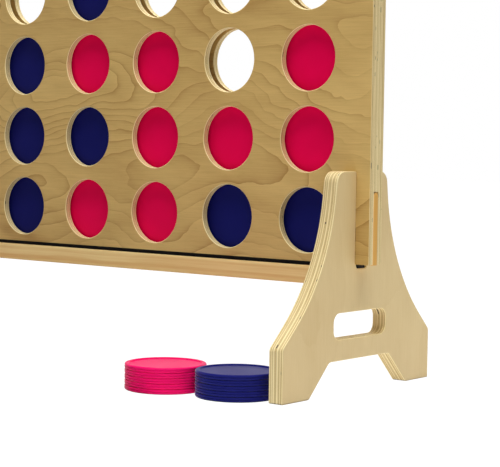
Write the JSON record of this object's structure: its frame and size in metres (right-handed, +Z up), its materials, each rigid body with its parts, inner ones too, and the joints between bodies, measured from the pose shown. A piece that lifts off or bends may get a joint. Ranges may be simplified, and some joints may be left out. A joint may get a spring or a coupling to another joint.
{
  "type": "giant four in a row",
  "caption": "Free-standing garden game: a board of round windows between two slotted plywood legs, with edge-standing discs, a pull-out release strip and stacked spare discs.",
  "frame": {"origin": "middle of the footprint on the ground", "axes": "+X along the board to the right as seen from the front, +Y away from the front, +Z up"},
  "size_m": [1.1384, 0.4302, 0.919],
  "materials": {
    "leg_ply": "satin",
    "panel_ply": "satin",
    "spacer_ply": "satin",
    "rail_wood": "satin",
    "dowel_wood": "matte",
    "grip_wood": "satin",
    "slider_black": "matte",
    "screw_steel": "zinc plated",
    "pink_plastic": "satin",
    "navy_plastic": "satin"
  },
  "bodies": {
    "stand": {"left_leg": "leg_ply", "right_leg": "leg_ply", "front_rail": "rail_wood", "back_rail": "rail_wood", "rail_dowels": "dowel_wood"},
    "board": {"front_panel": "panel_ply", "back_panel": "panel_ply", "left_end_spacer": "spacer_ply", "right_end_spacer": "spacer_ply", "column_divider_1": "spacer_ply", "column_divider_2": "spacer_ply", "column_divider_3": "spacer_ply", "column_divider_4": "spacer_ply", "column_divider_5": "spacer_ply", "column_divider_6": "spacer_ply", "panel_screws": "screw_steel"},
    "slider": {"release_slider": "slider_black", "slider_grip": "grip_wood"},
    "navy_disc_c1_r1": {"navy_disc_c1_r1": "navy_plastic"},
    "pink_disc_c1_r2": {"pink_disc_c1_r2": "pink_plastic"},
    "navy_disc_c2_r1": {"navy_disc_c2_r1": "navy_plastic"},
    "pink_disc_c2_r2": {"pink_disc_c2_r2": "pink_plastic"},
    "navy_disc_c2_r3": {"navy_disc_c2_r3": "navy_plastic"},
    "navy_disc_c3_r1": {"navy_disc_c3_r1": "navy_plastic"},
    "navy_disc_c3_r2": {"navy_disc_c3_r2": "navy_plastic"},
    "navy_disc_c3_r3": {"navy_disc_c3_r3": "navy_plastic"},
    "pink_disc_c4_r1": {"pink_disc_c4_r1": "pink_plastic"},
    "navy_disc_c4_r2": {"navy_disc_c4_r2": "navy_plastic"},
    "pink_disc_c4_r3": {"pink_disc_c4_r3": "pink_plastic"},
    "navy_disc_c4_r4": {"navy_disc_c4_r4": "navy_plastic"},
    "pink_disc_c5_r1": {"pink_disc_c5_r1": "pink_plastic"},
    "pink_disc_c5_r2": {"pink_disc_c5_r2": "pink_plastic"},
    "pink_disc_c5_r3": {"pink_disc_c5_r3": "pink_plastic"},
    "navy_disc_c6_r1": {"navy_disc_c6_r1": "navy_plastic"},
    "pink_disc_c6_r2": {"pink_disc_c6_r2": "pink_plastic"},
    "navy_disc_c7_r1": {"navy_disc_c7_r1": "navy_plastic"},
    "pink_disc_c7_r2": {"pink_disc_c7_r2": "pink_plastic"},
    "pink_disc_c7_r3": {"pink_disc_c7_r3": "pink_plastic"},
    "pink_stack_disc_1": {"pink_stack_disc_1": "pink_plastic"},
    "pink_stack_disc_2": {"pink_stack_disc_2": "pink_plastic"},
    "pink_stack_disc_3": {"pink_stack_disc_3": "pink_plastic"},
    "pink_stack_disc_4": {"pink_stack_disc_4": "pink_plastic"},
    "pink_stack_disc_5": {"pink_stack_disc_5": "pink_plastic"},
    "pink_spare_discs": {"pink_spare_discs": "pink_plastic"},
    "navy_stack_disc_1": {"navy_stack_disc_1": "navy_plastic"},
    "navy_stack_disc_2": {"navy_stack_disc_2": "navy_plastic"},
    "navy_stack_disc_3": {"navy_stack_disc_3": "navy_plastic"},
    "navy_stack_disc_4": {"navy_stack_disc_4": "navy_plastic"},
    "navy_stack_disc_5": {"navy_stack_disc_5": "navy_plastic"},
    "navy_spare_discs": {"navy_spare_discs": "navy_plastic"}
  },
  "joints": [
    {"name": "board_lift", "type": "slide", "parent": "stand", "child": "board", "axis": [0, 0, 1], "range_m": [0, 0.15]},
    {"name": "slider_pull", "type": "slide", "parent": "stand", "child": "slider", "axis": [1, 0, 0], "range_m": [0, 1.05]},
    {"name": "lift_c1_r1", "type": "slide", "parent": "stand", "child": "navy_disc_c1_r1", "axis": [0, 0, 1], "range_m": [0, 0.48]},
    {"name": "lift_c1_r2", "type": "slide", "parent": "navy_disc_c1_r1", "child": "pink_disc_c1_r2", "axis": [0, 0, 1], "range_m": [0, 0.615]},
    {"name": "lift_c2_r1", "type": "slide", "parent": "stand", "child": "navy_disc_c2_r1", "axis": [0, 0, 1], "range_m": [0, 0.36]},
    {"name": "lift_c2_r2", "type": "slide", "parent": "navy_disc_c2_r1", "child": "pink_disc_c2_r2", "axis": [0, 0, 1], "range_m": [0, 0.36]},
    {"name": "lift_c2_r3", "type": "slide", "parent": "pink_disc_c2_r2", "child": "navy_disc_c2_r3", "axis": [0, 0, 1], "range_m": [0, 0.494]},
    {"name": "lift_c3_r1", "type": "slide", "parent": "stand", "child": "navy_disc_c3_r1", "axis": [0, 0, 1], "range_m": [0, 0.36]},
    {"name": "lift_c3_r2", "type": "slide", "parent": "navy_disc_c3_r1", "child": "navy_disc_c3_r2", "axis": [0, 0, 1], "range_m": [0, 0.36]},
    {"name": "lift_c3_r3", "type": "slide", "parent": "navy_disc_c3_r2", "child": "navy_disc_c3_r3", "axis": [0, 0, 1], "range_m": [0, 0.494]},
    {"name": "lift_c4_r1", "type": "slide", "parent": "stand", "child": "pink_disc_c4_r1", "axis": [0, 0, 1], "range_m": [0, 0.24]},
    {"name": "lift_c4_r2", "type": "slide", "parent": "pink_disc_c4_r1", "child": "navy_disc_c4_r2", "axis": [0, 0, 1], "range_m": [0, 0.24]},
    {"name": "lift_c4_r3", "type": "slide", "parent": "navy_disc_c4_r2", "child": "pink_disc_c4_r3", "axis": [0, 0, 1], "range_m": [0, 0.24]},
    {"name": "lift_c4_r4", "type": "slide", "parent": "pink_disc_c4_r3", "child": "navy_disc_c4_r4", "axis": [0, 0, 1], "range_m": [0, 0.375]},
    {"name": "lift_c5_r1", "type": "slide", "parent": "stand", "child": "pink_disc_c5_r1", "axis": [0, 0, 1], "range_m": [0, 0.36]},
    {"name": "lift_c5_r2", "type": "slide", "parent": "pink_disc_c5_r1", "child": "pink_disc_c5_r2", "axis": [0, 0, 1], "range_m": [0, 0.36]},
    {"name": "lift_c5_r3", "type": "slide", "parent": "pink_disc_c5_r2", "child": "pink_disc_c5_r3", "axis": [0, 0, 1], "range_m": [0, 0.494]},
    {"name": "lift_c6_r1", "type": "slide", "parent": "stand", "child": "navy_disc_c6_r1", "axis": [0, 0, 1], "range_m": [0, 0.48]},
    {"name": "lift_c6_r2", "type": "slide", "parent": "navy_disc_c6_r1", "child": "pink_disc_c6_r2", "axis": [0, 0, 1], "range_m": [0, 0.615]},
    {"name": "lift_c7_r1", "type": "slide", "parent": "stand", "child": "navy_disc_c7_r1", "axis": [0, 0, 1], "range_m": [0, 0.36]},
    {"name": "lift_c7_r2", "type": "slide", "parent": "navy_disc_c7_r1", "child": "pink_disc_c7_r2", "axis": [0, 0, 1], "range_m": [0, 0.36]},
    {"name": "lift_c7_r3", "type": "slide", "parent": "pink_disc_c7_r2", "child": "pink_disc_c7_r3", "axis": [0, 0, 1], "range_m": [0, 0.494]},
    {"name": "pick_up_pink_1", "type": "slide", "parent": "stand", "child": "pink_stack_disc_1", "axis": [0, 0, 1], "range_m": [0, 0.15]},
    {"name": "pick_up_pink_2", "type": "slide", "parent": "pink_stack_disc_1", "child": "pink_stack_disc_2", "axis": [0, 0, 1], "range_m": [0, 0.15]},
    {"name": "pick_up_pink_3", "type": "slide", "parent": "pink_stack_disc_2", "child": "pink_stack_disc_3", "axis": [0, 0, 1], "range_m": [0, 0.15]},
    {"name": "pick_up_pink_4", "type": "slide", "parent": "pink_stack_disc_3", "child": "pink_stack_disc_4", "axis": [0, 0, 1], "range_m": [0, 0.15]},
    {"name": "pick_up_pink_5", "type": "slide", "parent": "pink_stack_disc_4", "child": "pink_stack_disc_5", "axis": [0, 0, 1], "range_m": [0, 0.15]},
    {"name": "pick_up_pink_spares", "type": "slide", "parent": "stand", "child": "pink_spare_discs", "axis": [0, 0, 1], "range_m": [0, 0.15]},
    {"name": "pick_up_navy_1", "type": "slide", "parent": "stand", "child": "navy_stack_disc_1", "axis": [0, 0, 1], "range_m": [0, 0.15]},
    {"name": "pick_up_navy_2", "type": "slide", "parent": "navy_stack_disc_1", "child": "navy_stack_disc_2", "axis": [0, 0, 1], "range_m": [0, 0.15]},
    {"name": "pick_up_navy_3", "type": "slide", "parent": "navy_stack_disc_2", "child": "navy_stack_disc_3", "axis": [0, 0, 1], "range_m": [0, 0.15]},
    {"name": "pick_up_navy_4", "type": "slide", "parent": "navy_stack_disc_3", "child": "navy_stack_disc_4", "axis": [0, 0, 1], "range_m": [0, 0.15]},
    {"name": "pick_up_navy_5", "type": "slide", "parent": "navy_stack_disc_4", "child": "navy_stack_disc_5", "axis": [0, 0, 1], "range_m": [0, 0.15]},
    {"name": "pick_up_navy_spares", "type": "slide", "parent": "stand", "child": "navy_spare_discs", "axis": [0, 0, 1], "range_m": [0, 0.15]}
  ]
}
